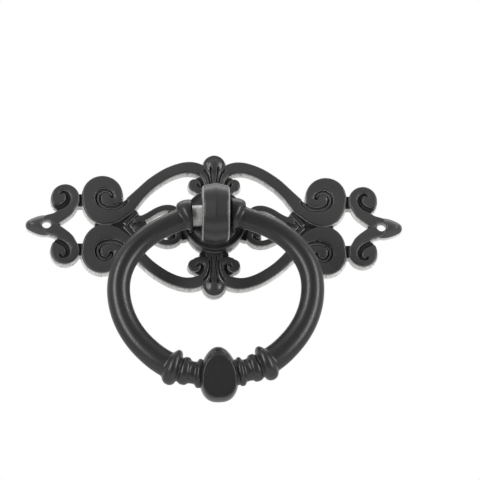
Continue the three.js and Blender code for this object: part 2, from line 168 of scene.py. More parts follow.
def part_sheets(field, rounds=8):
    """Fills a corner of each grid square that is in and out by turns: no edge has four faces."""
    field = np.ascontiguousarray(field)
    flat = field.reshape(-1)
    number = np.arange(flat.size).reshape(field.shape)
    for _ in range(rounds):
        found = 0
        for a, b in ((0, 1), (0, 2), (1, 2)):
            corners = []
            for da, db in ((0, 0), (1, 0), (1, 1), (0, 1)):
                cut = [slice(None)] * 3
                cut[a] = slice(da, field.shape[a] - 1 + da)
                cut[b] = slice(db, field.shape[b] - 1 + db)
                corners.append(tuple(cut))
            p, q, r, s = (field[cut] < 0 for cut in corners)
            turns = (p == r) & (q == s) & (p != q)
            square = np.stack([number[cut][turns] for cut in corners], 1)
            height = np.where(flat[square] < 0, np.inf, flat[square])
            flat[square[np.arange(len(square)), height.argmin(1)]] = JUST_INSIDE
            found += len(square)
        if not found:
            break
    return field


def skin(field, origin, steps):
    """Surface net of a field, negative inside: a point in each cell that the surface crosses."""
    field = part_sheets(field)
    inside = field < 0
    shape = np.array(field.shape)
    cells = tuple(shape - 1)
    total = np.zeros(cells + (3,), np.float32)
    count = np.zeros(cells, np.float32)
    for axis in range(3):
        low = [slice(None)] * 3
        high = [slice(None)] * 3
        low[axis], high[axis] = slice(0, -1), slice(1, None)
        f0, f1 = field[tuple(low)], field[tuple(high)]
        cut = inside[tuple(low)] != inside[tuple(high)]
        where = np.argwhere(cut)
        share = f0[cut] / (f0[cut] - f1[cut])
        at = where.astype(np.float32)
        at[:, axis] += share
        others = [k for k in range(3) if k != axis]
        for da in (0, 1):
            for db in (0, 1):
                cell = where.copy()
                cell[:, others[0]] -= da
                cell[:, others[1]] -= db
                good = ((cell >= 0) & (cell < np.array(cells))).all(1)
                index = tuple(cell[good].T)
                np.add.at(total, index, at[good])
                np.add.at(count, index, 1)
    used = count > 0
    number = np.full(cells, -1, np.int64)
    number[used] = np.arange(used.sum())
    points = total[used] / count[used][:, None] * np.array(steps) + np.array(origin)
    quads = []
    for axis in range(3):
        low = [slice(None)] * 3
        high = [slice(None)] * 3
        low[axis], high[axis] = slice(0, -1), slice(1, None)
        i0, i1 = inside[tuple(low)], inside[tuple(high)]
        b, c = (axis + 1) % 3, (axis + 2) % 3
        where = np.argwhere(i0 != i1)
        where = where[(where[:, b] > 0) & (where[:, c] > 0)]
        where = where[(where[:, b] < cells[b]) & (where[:, c] < cells[c])]
        out = i0[tuple(where.T)]
        corners = []
        for db, dc in ((1, 1), (0, 1), (0, 0), (1, 0)):
            cell = where.copy()
            cell[:, b] -= db
            cell[:, c] -= dc
            corners.append(number[tuple(cell.T)])
        quad = np.stack(corners, 1)
        quad[~out] = quad[~out][:, ::-1]
        quads.append(quad)
    return points, np.concatenate(quads)


def evaluated_mesh(piece):
    """A plain mesh of the piece with its modifiers applied."""
    return bpy.data.meshes.new_from_object(
        piece.evaluated_get(bpy.context.evaluated_depsgraph_get())
    )


def thin(piece, target):
    """Merges flat stretches until the piece has about target triangles."""
    triangles = sum(len(p.vertices) - 2 for p in piece.data.polygons)
    if triangles > target:
        modifier = piece.modifiers.new("thin", "DECIMATE")
        modifier.ratio = target / triangles
        piece.data = evaluated_mesh(piece)
        piece.modifiers.remove(modifier)
        piece.data.polygons.foreach_set("use_smooth", [True] * len(piece.data.polygons))


def mark(piece, name, values):
    """Stores one number a point, 0 to 1, for the piece's finish to read."""
    layer = piece.data.attributes.new(name, "FLOAT", "POINT")
    layer.data.foreach_set("value", np.clip(values, 0, 1).astype(np.float32))


def geometry_of(piece):
    """Points in mm, point normals and edges of a piece."""
    mesh = piece.data
    points = np.empty(len(mesh.vertices) * 3, np.float32)
    mesh.vertices.foreach_get("co", points)
    normals = np.empty(len(mesh.vertices) * 3, np.float32)
    mesh.vertices.foreach_get("normal", normals)
    edges = np.empty(len(mesh.edges) * 2, np.int32)
    mesh.edges.foreach_get("vertices", edges)
    return points.reshape(-1, 3) / MM, normals.reshape(-1, 3), edges.reshape(-1, 2)


def mark_worn(piece, gain, rounds=2, least=0.0):
    """Marks convex edges, where the black is rubbed: how far a point stands out from the next."""
    points, normals, edges = geometry_of(piece)
    a, b = edges.T
    away = points[a] - points[b]
    length = np.linalg.norm(away, axis=1) + 1e-6
    stand = np.zeros(len(points))
    near = np.zeros(len(points))
    np.add.at(stand, a, (normals[a] * away).sum(1) / length)
    np.add.at(stand, b, -(normals[b] * away).sum(1) / length)
    np.add.at(near, a, 1)
    np.add.at(near, b, 1)
    stand /= np.maximum(near, 1)
    for _ in range(rounds):
        spread = stand.copy()
        np.add.at(spread, a, stand[b])
        np.add.at(spread, b, stand[a])
        stand = spread / (near + 1)
    mark(piece, "worn", np.maximum(stand * gain, least))


# ---------------------------------------------------------- finishes

class Value:
    """A number that varies over the surface; arithmetic on it adds Math nodes."""

    def __init__(self, tree, socket):
        self.tree = tree
        self.socket = socket

    def _math(self, operation, first, second=None):
        node = self.tree.nodes.new("ShaderNodeMath")
        node.operation = operation
        for slot, term in zip(node.inputs, (first, second)):
            if isinstance(term, Value):
                self.tree.links.new(term.socket, slot)
            elif term is not None:
                slot.default_value = term
        return Value(self.tree, node.outputs[0])

    def __add__(self, other):
        return self._math("ADD", self, other)

    __radd__ = __add__

    def __sub__(self, other):
        return self._math("SUBTRACT", self, other)

    def __rsub__(self, other):
        return self._math("SUBTRACT", other, self)

    def __mul__(self, other):
        return self._math("MULTIPLY", self, other)

    __rmul__ = __mul__

    def clamped(self):
        return self._math("MINIMUM", self._math("MAXIMUM", self, 0.0), 1.0)


class Finish:
    """One procedural material; its surface shader takes values, links and plain numbers."""

    def __init__(self, name):
        self.material = bpy.data.materials.new(name)
        self.material.use_nodes = True
        self.tree = self.material.node_tree
        self.surface = self.tree.nodes["Principled BSDF"]
        self.place = self.node("ShaderNodeTexCoord").outputs["Object"]

    def node(self, kind, settings=(), **sockets):
        made = self.tree.nodes.new(kind)
        for key, setting in dict(settings).items():
            setattr(made, key, setting)
        for key, term in sockets.items():
            self.feed(made.inputs[key.replace("_", " ")], term)
        return made

    def feed(self, slot, term):
        if isinstance(term, Value):
            self.tree.links.new(term.socket, slot)
        elif isinstance(term, bpy.types.NodeSocket):
            self.tree.links.new(term, slot)
        else:
            slot.default_value = term

    def noise(self, per_mm, detail=2.0, roughness=0.5):
        made = self.node(
            "ShaderNodeTexNoise",
            Vector=self.place, Scale=per_mm / MM, Detail=detail, Roughness=roughness,
        )
        return Value(self.tree, made.outputs["Fac"])

    def attribute(self, name):
        made = self.node("ShaderNodeAttribute", {"attribute_name": name})
        return Value(self.tree, made.outputs["Fac"])

    def ramp(self, value, low, high):
        """0 at low, 1 at high, straight between."""
        made = self.node(
            "ShaderNodeMapRange", {"clamp": True}, Value=value, From_Min=low, From_Max=high
        )
        return Value(self.tree, made.outputs["Result"])

    def blend(self, share, first, second):
        """From the first colour to the second."""
        made = self.node("ShaderNodeMix", {"data_type": "RGBA"})
        self.feed(made.inputs[0], share)
        self.feed(made.inputs[6], first)
        self.feed(made.inputs[7], second)
        return made.outputs[2]

    def relief(self, height, depth_mm):
        """Bumps depth_mm high, from a height of 0 to 1."""
        made = self.node("ShaderNodeBump", Height=height, Strength=1.0, Distance=depth_mm * MM)
        self.feed(self.surface.inputs["Normal"], made.outputs["Normal"])

    def set(self, **sockets):
        for key, term in sockets.items():
            self.feed(self.surface.inputs[key.replace("_", " ")], term)
        return self.material


def grey(level, warmth=0.0):
    """A grey, or one a little towards red."""
    return (level * (1 + warmth), level, level * (1 - warmth), 1)


RUBBED_METAL = grey(0.55, 0.01)
BARE_CASTING = grey(0.85, 0.02)
# grey of the painted sheen at glancing angles
PAINTED_SHEEN_GREY = grey(0.3)
# painted shadow on the pin's end in the gap beside the eye
PAINTED_GAP_SHADOW = grey(0.004)


def satin_black(name, level, rubbed, wear_from, gloss, painted_sheen=0.0, relief=0.012, cast_edges=False):
    """Thin black lacquer over cast metal.

    level is its darkness, rubbed how much metal shows on the edges worn beyond wear_from,
    gloss its roughness, painted_sheen a painted sheen that greys the black at a glancing angle,
    and cast_edges adds bare walls and painted shade in the grooves.
    """
    finish = Finish(name)
    cloud = finish.noise(0.12, detail=3.0)
    grain = finish.noise(2.4, detail=3.0, roughness=0.6)
    peel = finish.noise(1.1, detail=1.0)
    scuff = finish.noise(0.9, detail=4.0, roughness=0.7)
    # painted sheen: the black is greyed where the surface turns away at a glancing angle, standing
    # in for the rim reflection of the bright room
    facing = Value(finish.tree, finish.node("ShaderNodeLayerWeight", Blend=0.3).outputs["Facing"])
    painted_sheen_share = finish.ramp(facing, 0.55, 1.0) * painted_sheen
    worn = finish.ramp(finish.attribute("worn") + (scuff - 0.5) * 0.35, wear_from, wear_from + 0.35)
    tone = finish.blend(cloud, grey(level * 0.85), grey(level * 1.15))
    tone = finish.blend(finish.ramp(grain, 0.62, 0.75) * 0.25, tone, grey(level * 1.9))
    tone = finish.blend(painted_sheen_share, tone, PAINTED_SHEEN_GREY)
    colour = finish.blend(worn * rubbed, tone, RUBBED_METAL)
    rough = gloss + cloud * 0.1 + (grain - 0.5) * 0.12
    if cast_edges:
        # painted shade: grooves and webs below the face go near black
        colour = finish.blend(finish.attribute("painted_groove_shade"), colour, grey(level * 0.12))
        speck = finish.ramp(finish.noise(1.3, detail=4.0, roughness=0.7), 0.6, 0.64)
        bare = (finish.attribute("bare") * (1 - speck * 0.8)).clamped()
        colour = finish.blend(bare, colour, BARE_CASTING)
        rough = rough + bare * 0.2 + finish.attribute("painted_groove_shade") * 0.25
    finish.relief(peel * 0.6 + grain * 0.4, relief)
    finish.set(Base_Color=colour, Roughness=rough, Metallic=worn * (0.7 * rubbed))
    return finish.set(Specular_IOR_Level=0.5)


def tumbled_steel(name, level, painted_shadow_from=0.0):
    """Bare steel with fine turning marks; past the given distance along X, painted shadow turns it
    black, where the pin sits in the narrow gap beside the eye.
    """
    finish = Finish(name)
    cloud = finish.noise(0.5, detail=4.0, roughness=0.65)
    stretched = finish.node("ShaderNodeMapping", Vector=finish.place, Scale=(9.0, 1.0, 1.0))
    turning = finish.node(
        "ShaderNodeTexNoise", Vector=stretched.outputs[0], Scale=0.9 / MM, Detail=3.0
    )
    marks = Value(finish.tree, turning.outputs["Fac"])
    split = finish.node("ShaderNodeSeparateXYZ", Vector=finish.place)
    along = Value(finish.tree, split.outputs["X"])
    colour = finish.ramp(cloud, 0.35, 0.7)
    colour = finish.blend(colour, grey(level * 0.8, 0.02), grey(level, 0.01))
    # painted shadow: the pin's right end, in the narrow gap between the eye and the right bell,
    # goes black
    if painted_shadow_from:
        dark = finish.ramp(along, painted_shadow_from * MM, (painted_shadow_from + 0.2) * MM)
        colour = finish.blend(dark, colour, PAINTED_GAP_SHADOW)
    finish.relief(marks, 0.01)
    return finish.set(Base_Color=colour, Metallic=0.5, Roughness=0.46 + (cloud - 0.5) * 0.3)


plate_black = satin_black(
    "plate_satin_black", level=0.039, rubbed=0.1, wear_from=0.75, gloss=0.28, cast_edges=True
)
post_black = satin_black(
    "post_satin_black", level=0.02, rubbed=1.0, wear_from=0.3, gloss=0.3, painted_sheen=0.3, relief=0.005
)
ring_black = satin_black(
    "ring_satin_black", level=0.016, rubbed=0.6, wear_from=0.6, gloss=0.3, painted_sheen=0.7, relief=0.008
)
# its right end gets painted shadow beyond 2.1 mm along X
pin_steel = tumbled_steel("pin_steel", level=0.58, painted_shadow_from=2.1)
washer_steel = tumbled_steel("washer_steel", level=0.5)


# ---------------------------------------------------------- backplate

def catmull(points, per_span=8):
    """A smooth run through points of any number of values."""
    p = np.array([points[0], *points, points[-1]], float)
    p[0] = 2 * p[1] - p[2]
    p[-1] = 2 * p[-2] - p[-3]
    t = np.linspace(0, 1, per_span, endpoint=False)[:, None]
    run = []
    for k in range(1, len(p) - 2):
        a, b, c, d = p[k - 1], p[k], p[k + 1], p[k + 2]
        bend, twist = 2 * a - 5 * b + 4 * c - d, 3 * b - a - 3 * c + d
        run.append(0.5 * (2 * b + (c - a) * t + bend * t**2 + twist * t**3))
    return np.concatenate([*run, p[-2:-1]])


class Quarter:
    """Flat distance fields over one quarter of the plate: u outward, w up from the middle."""

    def __init__(self, step):
        self.u = np.arange(0, HALF_LENGTH + 3 * step, step) + step / 2
        self.w = np.arange(0, HALF_HEIGHT + 3 * step, step) + step / 2
        self.grid = np.stack(np.meshgrid(self.u, self.w, indexing="ij"), -1)

    def disc(self, u, w, radius):
        return np.hypot(self.grid[..., 0] - u, self.grid[..., 1] - w) - radius

    def stroke(self, points, per_span=8):
        """Distance to a band with its middle through [u, w, half width] points."""
        run = catmull(points, per_span)
        best = np.full(self.grid.shape[:2], 1e3)
        for (u0, w0, r0), (u1, w1, r1) in zip(run, run[1:]):
            way = np.array([u1 - u0, w1 - w0])
            rel = self.grid - (u0, w0)
            share = np.clip((rel @ way) / max(way @ way, 1e-9), 0, 1)
            away = rel - share[..., None] * way
            half = r0 + (r1 - r0) * share
            best = np.minimum(best, np.hypot(away[..., 0], away[..., 1]) - half)
        return best

    def bars(self, points):
        """The same with straight legs."""
        return self.stroke(points, 1)


def spiral(centre, turns):
    """Points round a centre from (degrees, radius, half width)."""
    run = []
    for degrees, radius, half in turns:
        a = math.radians(degrees)
        run.append((centre[0] + radius * math.cos(a), centre[1] + radius * math.sin(a), half))
    return run


SCROLL_EYE = (18.65, 4.75)  # centre of the big scroll's groove

# the lines of the casting as (u, w, half width), mm, but (degrees, radius, half width) in a spiral
SCROLL_GROOVE = spiral(SCROLL_EYE, [
    (190, 3.3, 0.5), (205, 2.9, 0.48), (222, 2.45, 0.47), (245, 1.95, 0.47), (272, 1.62, 0.47),
    (317, 1.5, 0.47), (360, 1.42, 0.47), (400, 1.43, 0.47), (440, 1.36, 0.45), (488, 1.2, 0.42),
    (526, 1.02, 0.34),
])
ARM = [
    (21.65, 4.6, 1.1), (21.25, 2.85, 1.15), (20.2, 1.65, 1.2), (18.7, 1.25, 1.15),
    (17.2, 1.55, 1.05), (15.9, 2.35, 1.0), (14.7, 3.45, 1.15), (13.75, 4.5, 1.05),
    (12.6, 5.75, 0.92), (11.05, 7.25, 0.9), (9.5, 8.4, 0.9), (8.0, 9.3, 0.9), (6.45, 9.95, 0.9),
    (4.98, 10.3, 0.93), (3.5, 10.25, 0.97), (2.2, 9.75, 0.9), (1.4, 8.7, 0.62), (1.1, 7.5, 0.5),
    (1.35, 6.6, 0.5), (2.1, 6.1, 0.5), (3.0, 6.4, 0.6),
]
CURL_GROOVE = [
    (2.75, 8.75, 0.4), (2.35, 8.2, 0.3), (2.05, 7.6, 0.26), (2.1, 7.0, 0.24), (2.55, 6.85, 0.2),
    (2.9, 7.25, 0.16),
]
SMALL_BAND = [
    (28.6, 0.6, 1.0), (27.3, 1.05, 0.95), (26.15, 1.8, 0.95), (25.1, 2.8, 1.0), (24.5, 4.2, 1.05),
]
SMALL_GROOVE = [
    (27.7, 2.75, 0.5), (27.0, 2.95, 0.52), (26.2, 3.3, 0.55), (25.5, 3.85, 0.5),
    (25.15, 4.7, 0.44), (25.4, 5.5, 0.38), (26.1, 5.8, 0.3), (26.55, 5.5, 0.22),
]
HEART = [
    (13.4, 0.75, 0.5), (11.7, 1.5, 0.48), (9.9, 2.6, 0.46), (8.4, 3.1, 0.46), (7.0, 2.95, 0.46),
    (6.15, 2.1, 0.5), (6.4, 1.15, 0.5), (7.2, 1.0, 0.5), (7.6, 1.6, 0.5),
]
STEM = [
    (0, 10.6, 1.9), (0, 9.4, 1.5), (0, 8.4, 0.85), (0, 7.4, 0.72), (0, 6.4, 1.1),
    (0, 5.6, 1.35), (0, 4.4, 1.35),
]
FLUTES = [
    [
        (0.62, 10.2, 0.13), (0.58, 9.2, 0.13), (0.42, 8.0, 0.13), (0.36, 6.8, 0.12),
        (0.45, 5.6, 0.12),
    ],
    [
        (1.75, 9.75, 0.13), (1.3, 9.2, 0.13), (0.95, 8.3, 0.13), (0.75, 7.2, 0.12),
        (0.85, 6.2, 0.12),
    ],
]
MIDDLE_GROOVE = [
    (21.4, 0, 0.3), (20.4, 0, 0.14), (18.6, 0, 0.1), (16.6, 0, 0.14), (15.6, 0, 0.3),
]
NOSE = [(31.5, 0, 0.97), (30.6, 0, 1.4), (29.4, 0, 1.75), (28.2, 0, 1.65)]


def plate_field(quarter, heights):
    """The whole plate as one field over the quarter and its heights."""
    h = heights[None, None, :]
    u = quarter.grid[..., 0][..., None]
    w = quarter.grid[..., 1][..., None]
    levels = []

    def add(flat, top, edge=EDGE, lean=LEAN):
        flared = flat[..., None] - lean * np.clip(1 - h / top, 0, 1)
        levels.append(smooth_max(flared, h - top, edge))

    # scrolls, arm and heart stand at the face, over thinner webs
    coil = quarter.disc(19.3, 5.12, 3.5)
    arm = quarter.stroke(ARM)
    add(smooth_min(coil, arm, 0.12), FACE)
    add(smooth_min(quarter.disc(25.7, 4.65, 2.42), quarter.stroke(SMALL_BAND), 0.15), FACE)
    add(quarter.disc(3.4, 7.15, 1.05), FACE)
    add(quarter.stroke(HEART), FACE - 0.1, 0.18)
    add(quarter.stroke(STEM), FACE - 0.15, 0.18)
    web = GROOVE_FLOOR
    add(quarter.bars([(22.4, 4.4, 1.1), (23.9, 4.4, 1.1)]), web + 0.1, 0.15)
    add(quarter.disc(7.0, 1.9, 1.1), web, 0.1)
    add(quarter.disc(5.4, 1.3, 1.2), web, 0.1)
    add(quarter.disc(2.4, 7.4, 1.3), web, 0.1)
    add(quarter.stroke([(0, 9.7, 1.7), (0, 4.2, 1.5)]), web, 0.1)
    add(quarter.bars([(0, 5.3, 0.75), (1.9, 5.15, 0.6)]), web + 0.1, 0.12)

    # stepped chevron where the scrolls are strapped, over its dark web
    strap = quarter.bars([(20.1, 0.0, 0.5), (15.4, 0.0, 1.3), (13.2, 0.0, 1.6)])
    fork = quarter.bars([(15.2, 0.6, 0.9), (13.8, 2.0, 0.75)])
    add(np.minimum(strap, fork), web - 0.1, 0.1)
    add(quarter.bars([(13.55, 2.15, 0.34), (15.5, 0.0, 0.34)]), FACE - 0.45, 0.14, 0)
    add(quarter.bars([(12.9, 1.45, 0.3), (14.25, 0.0, 0.3)]), FACE - 0.3, 0.14, 0)
    point = quarter.bars([(12.6, 0.9, 0.3), (13.2, 0.0, 0.5), (12.3, 0.0, 0.4)])
    add(point, FACE - 0.45, 0.14, 0)

    # boss with its ledges
    add(quarter.disc(0, 0, BOSS_RADIUS), FACE, 0.15)
    for inset, top in LEDGES:
        add(quarter.disc(0, 0, BOSS_RADIUS - inset), top, 0.1, 0)

    # tip: a long rounded nose that runs into the two small scrolls
    nose = quarter.stroke(NOSE)[..., None]
    crown = TIP_TOP - 1.1 * np.clip(1 + nose / 1.7, 0, 1) ** 2
    flared_nose = nose - 0.1 * np.clip(1 - h / TIP_TOP, 0, 1)
    levels.append(smooth_max(flared_nose, h - crown, TIP_ROUNDING))
    add(quarter.stroke([(27.4, 0, 0.7), (26.9, 0, 0.4)]), web, 0.1)
    body = np.minimum.reduce(levels)

    # finial ball
    reach = HALF_HEIGHT - FINIAL_RADIUS
    ball = np.sqrt(u**2 + (w - reach) ** 2 + (h - FINIAL_HEIGHT) ** 2) - FINIAL_RADIUS
    body = smooth_min(body, ball, 0.12)

    # carved grooves, each with a fine strand along its floor
    def carve(body, points, floor, strand=0.0):
        flat = quarter.stroke(points)
        half = points[3][2]
        middle = np.clip(flat + half, 0, None)
        bed = floor + strand * np.exp(-((middle / 0.16) ** 4))
        return smooth_max(body, -smooth_max(flat[..., None], bed[..., None] - h, 0.05), 0.08)

    body = carve(body, SCROLL_GROOVE, GROOVE_FLOOR, 0.7)
    body = carve(body, SMALL_GROOVE, GROOVE_FLOOR, 0.3)
    body = carve(body, MIDDLE_GROOVE, FACE - 1.1)
    body = carve(body, CURL_GROOVE, GROOVE_FLOOR + 0.1, 0.25)
    for flute in FLUTES:
        body = carve(body, flute, FACE - 0.42)
    body = np.maximum(body, -quarter.disc(SCREW_X, 0, SCREW_RADIUS)[..., None])
    sink = np.hypot(u - SCREW_X, w) - SCREW_RADIUS - np.clip(h - (TIP_TOP - SCREW_SINK), 0, 1)
    body = np.maximum(body, -sink)

    # rear: recess for the washer, hole for the stud, and a flat back
    axis_distance = np.hypot(u, w)
    body = np.maximum(body, -np.maximum(axis_distance - RECESS_RADIUS, h - RECESS_DEPTH))
    body = np.maximum(body, STUD_HOLE_RADIUS - axis_distance)
    return smooth_max(body, -h, 0.08)


def on_door(points):
    """Turns (across, up, height off the door) into the frame's x, y, z."""
    return np.stack([points[:, 0], -points[:, 2], points[:, 1]], 1)


def mark_cast_edges(plate):
    """Marks bare metal on the plate's walls and the boss's rims, and painted shade that darkens its
    grooves and webs.
    """
    points, normals, _ = geometry_of(plate)
    height = -points[:, 1]
    wall = np.clip(1 - np.abs(normals[:, 1]) * 2.2, 0, 1)
    centre = np.hypot(points[:, 0], points[:, 2])
    low = np.clip((FACE - 0.3 - height) / 0.35, 0, 1)
    near_boss = np.clip((centre - 5.1) / 0.3, 0, 1) + (height < 1.0)
    near_tip = np.clip((27.8 - np.abs(points[:, 0])) / 1.5, 0, 1) + (height < 1.3)
    skirt = np.clip(near_boss, 0, 1) * np.clip(near_tip, 0, 1) * (centre > 4.0)
    rims = [
        np.clip(2 - np.hypot(centre - BOSS_RADIUS + inset, height - top) / 0.08, 0, 1)
        for inset, top in [(0, FACE), *LEDGES]
    ]
    mark(plate, "bare", wall * low * skirt * (height > 0.05) + 0.35 * np.maximum.reduce(rims))
    # painted shade: faces below the front, in the grooves and on the webs, are darkened where shade
    # falls
    facing = np.clip((np.abs(normals[:, 1]) - 0.3) / 0.4, 0, 1)
    carved = np.clip((FACE - 0.15 - height) / 0.4, 0, 1) * (np.abs(points[:, 0]) < 27.5)
    mark(plate, "painted_groove_shade", carved * facing * (height > 0.5))


def build_backplate():
    quarter = Quarter(PLATE_STEP)
    heights = np.arange(-2 * PLATE_RISE, BOSS_TOP + 3 * PLATE_RISE, PLATE_RISE) + PLATE_RISE / 4
    field = plate_field(quarter, heights).astype(np.float32)
    field = np.concatenate([field[::-1], field], 0)
    field = np.concatenate([field[:, ::-1], field], 1)
    origin = (-quarter.u[-1], -quarter.w[-1], heights[0])
    points, quads = skin(field, origin, (PLATE_STEP, PLATE_STEP, PLATE_RISE))
    plate = make_piece("backplate_casting", on_door(points), quads, plate_black)
    thin(plate, PLATE_TRIANGLES)
    mark_worn(plate, gain=3.0)
    mark_cast_edges(plate)
    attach(plate, "plate")
    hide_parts("backplate")


# ---------------------------------------------------------- eye post

def post_field(x, z, h):
    """The eye on its neck and flange, and the stud behind; h is the height off the door."""
    along = np.abs(x)
    out = np.hypot(z, h - STANDOFF)
    from_axis = np.hypot(x, z)
    seat = BOSS_TOP + SEAT_GAP
    front = seat + FLANGE_THICKNESS

    radius = EYE_RADIUS - EYE_RIDGE * along / EYE_HALF_WIDTH
    barrel = smooth_max(out - radius, along - EYE_HALF_WIDTH, 0.06)
    corner = EYE_RADIUS - EYE_RIDGE + EYE_HALF_WIDTH - EYE_CHAMFER
    barrel = smooth_max(barrel, (out + along - corner) / math.sqrt(2), 0.08)

    dome = FLANGE_DOME * np.clip((4.3 - from_axis) / 1.5, 0, 1) ** 0.7
    disc = smooth_max(from_axis - FLANGE_RADIUS, h - front - dome, 0.22)
    flange = smooth_max(disc, seat - h, 0.15)
    line = np.hypot(from_axis - FLANGE_LINE_RADIUS, h - front - 0.02) - 0.1
    flange = smooth_max(flange, -line, 0.06)

    neck_half = NECK_HALF_DEPTH - 0.4 * along / EYE_HALF_WIDTH
    sides = smooth_max(along - NECK_HALF_WIDTH, np.abs(z) - neck_half, 0.3)
    neck = smooth_max(sides, np.abs(h - NECK_MIDDLE) - NECK_REACH, 0.1)
    head = smooth_min(barrel, smooth_min(neck, flange, 0.45), 0.3)
    bore = out - EYE_BORE - 0.25 * np.clip(along - EYE_HALF_WIDTH + 0.35, 0, 1)
    head = smooth_max(head, -bore, 0.05)

    stud = np.maximum(np.maximum(from_axis - STUD_RADIUS, h - seat - 0.5), -h)
    dimple = 0.25 * np.exp(-(from_axis / 0.7) ** 2)
    rivet = smooth_max(from_axis - RIVET_RADIUS, h - RIVET_THICKNESS, 0.1)
    rivet = smooth_max(rivet, -h + dimple, 0.25)
    return np.minimum(np.minimum(head, stud), rivet)


def eye_rim_wear_and_highlight(points):
    """1 on the rims of the eye, clear of the flange: rubbed metal there is partly wear and partly a
    painted highlight along the eye's edges.
    """
    flange_front = BOSS_TOP + SEAT_GAP + FLANGE_THICKNESS
    from_rim = np.abs(np.abs(points[:, 0]) - EYE_HALF_WIDTH + 0.12) / 0.2
    from_eye = np.hypot(points[:, 2], points[:, 1] + STANDOFF)
    on_eye = (from_eye > EYE_RADIUS - EYE_RIDGE - 0.4) & (from_eye < EYE_RADIUS)
    clear = -points[:, 1] > flange_front + 0.9
    return np.clip(1.3 - from_rim, 0, 1) * (on_eye & clear)


def build_post():
    reach = FLANGE_RADIUS + 0.3
    across = np.arange(-reach, reach, POST_STEP)
    heights = np.arange(-0.25, STANDOFF + EYE_RADIUS + 0.3, POST_STEP)
    field = post_field(across[:, None, None], across[None, :, None], heights[None, None, :])
    origin = (-reach, -reach, heights[0])
    points, quads = skin(field.astype(np.float32), origin, (POST_STEP,) * 3)
    post = make_piece("eye_post_casting", on_door(points), quads, post_black)
    thin(post, POST_TRIANGLES)
    # the eye's rims are forced to rubbed metal, partly wear and partly a painted highlight
    mark_worn(post, gain=3.2, least=0.5 * eye_rim_wear_and_highlight(geometry_of(post)[0]))
    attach(post, "plate")
    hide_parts("eye_post")


# ---------------------------------------------------------- ring: a swept bar and its knop

ring_middle = PIVOT + PIN_AXIS * RING_SHIFT


def in_ring(x, y, out=0.0):
    """A place in the ring's own plane: x along the pin, y up, out towards the front."""
    up = PIN_AXIS.cross(Vector((0, 1, 0)))
    return ring_middle + PIN_AXIS * x + up * y - Vector((0, 1, 0)) * out


def ring_side(degrees, half):
    """The bar's middle on one side, degrees above its widest place; a little fuller low down."""
    a = math.radians(degrees)
    reach = RING_CENTRE if degrees > 0 else RING_DROP - RING_CENTRE
    bulge = 1 + 0.014 * math.exp(-(((degrees + 62) / 14) ** 2))
    return (half * bulge * math.cos(a), reach * bulge * math.sin(a) - RING_CENTRE)


def ring_path():
    """The bar's middle in the ring's plane, evenly spaced from the right bell to the left one."""
    shoulder = [(BELL_FACE, 0), (BELL_FACE + 1.0, -0.05), (BELL_FACE + 2.2, -0.6)]
    right, left = (
        shoulder + [ring_side(d, half) for d in np.arange(61, -90, -9.5)]
        for half in (RING_HALF_RIGHT, RING_HALF_LEFT)
    )
    fine = catmull([*right, (0, -RING_DROP), *((-x, y) for x, y in reversed(left))], 24)
    run = np.concatenate([[0], np.cumsum(np.hypot(*np.diff(fine, axis=0).T))])
    even = np.linspace(0, run[-1], BAR_STATIONS)
    return np.stack([np.interp(even, run, fine[:, k]) for k in (0, 1)], 1), even


# radius of the bar by distance from the bell's face, and by distance from the knop's middle
BELL = [
    (0, 2.55), (0.12, 2.75), (0.3, 2.85), (0.95, 2.85), (1.35, 2.72), (1.6, 2.45), (1.8, 2.1),
    (2.1, 1.88), (3.0, BAR_RADIUS),
]
MOULDINGS = [
    (0, 2.6), (3.05, 2.2), (3.2, 2.45), (3.45, 2.52), (3.8, 2.5), (4.02, 2.25), (4.12, 1.95),
    (4.7, 1.9), (5.2, 1.98), (5.45, 2.3), (5.75, 2.42), (6.3, 2.42), (6.6, 2.3), (6.8, 2.08),
    (7.0, 2.12), (7.2, 2.7), (7.5, 3.02), (7.95, 3.18), (8.4, 3.12), (8.8, 2.85), (9.05, 2.45),
    (9.3, 2.26),
]


def bar_radius(distance, length):
    """Bells at both ends, mouldings beside the knop, and a bar that swells between them."""
    from_bell = min(distance, length - distance)
    from_knop = length / 2 - from_bell
    if from_bell < BELL[-1][0]:
        return float(np.interp(from_bell, *zip(*BELL)))
    if from_knop < MOULDINGS[-1][0]:
        return float(np.interp(from_knop, *zip(*MOULDINGS)))
    share = (from_bell - BELL[-1][0]) / (length / 2 - BELL[-1][0] - MOULDINGS[-1][0])
    return BAR_RADIUS + 0.12 * share + 0.29 * share**2


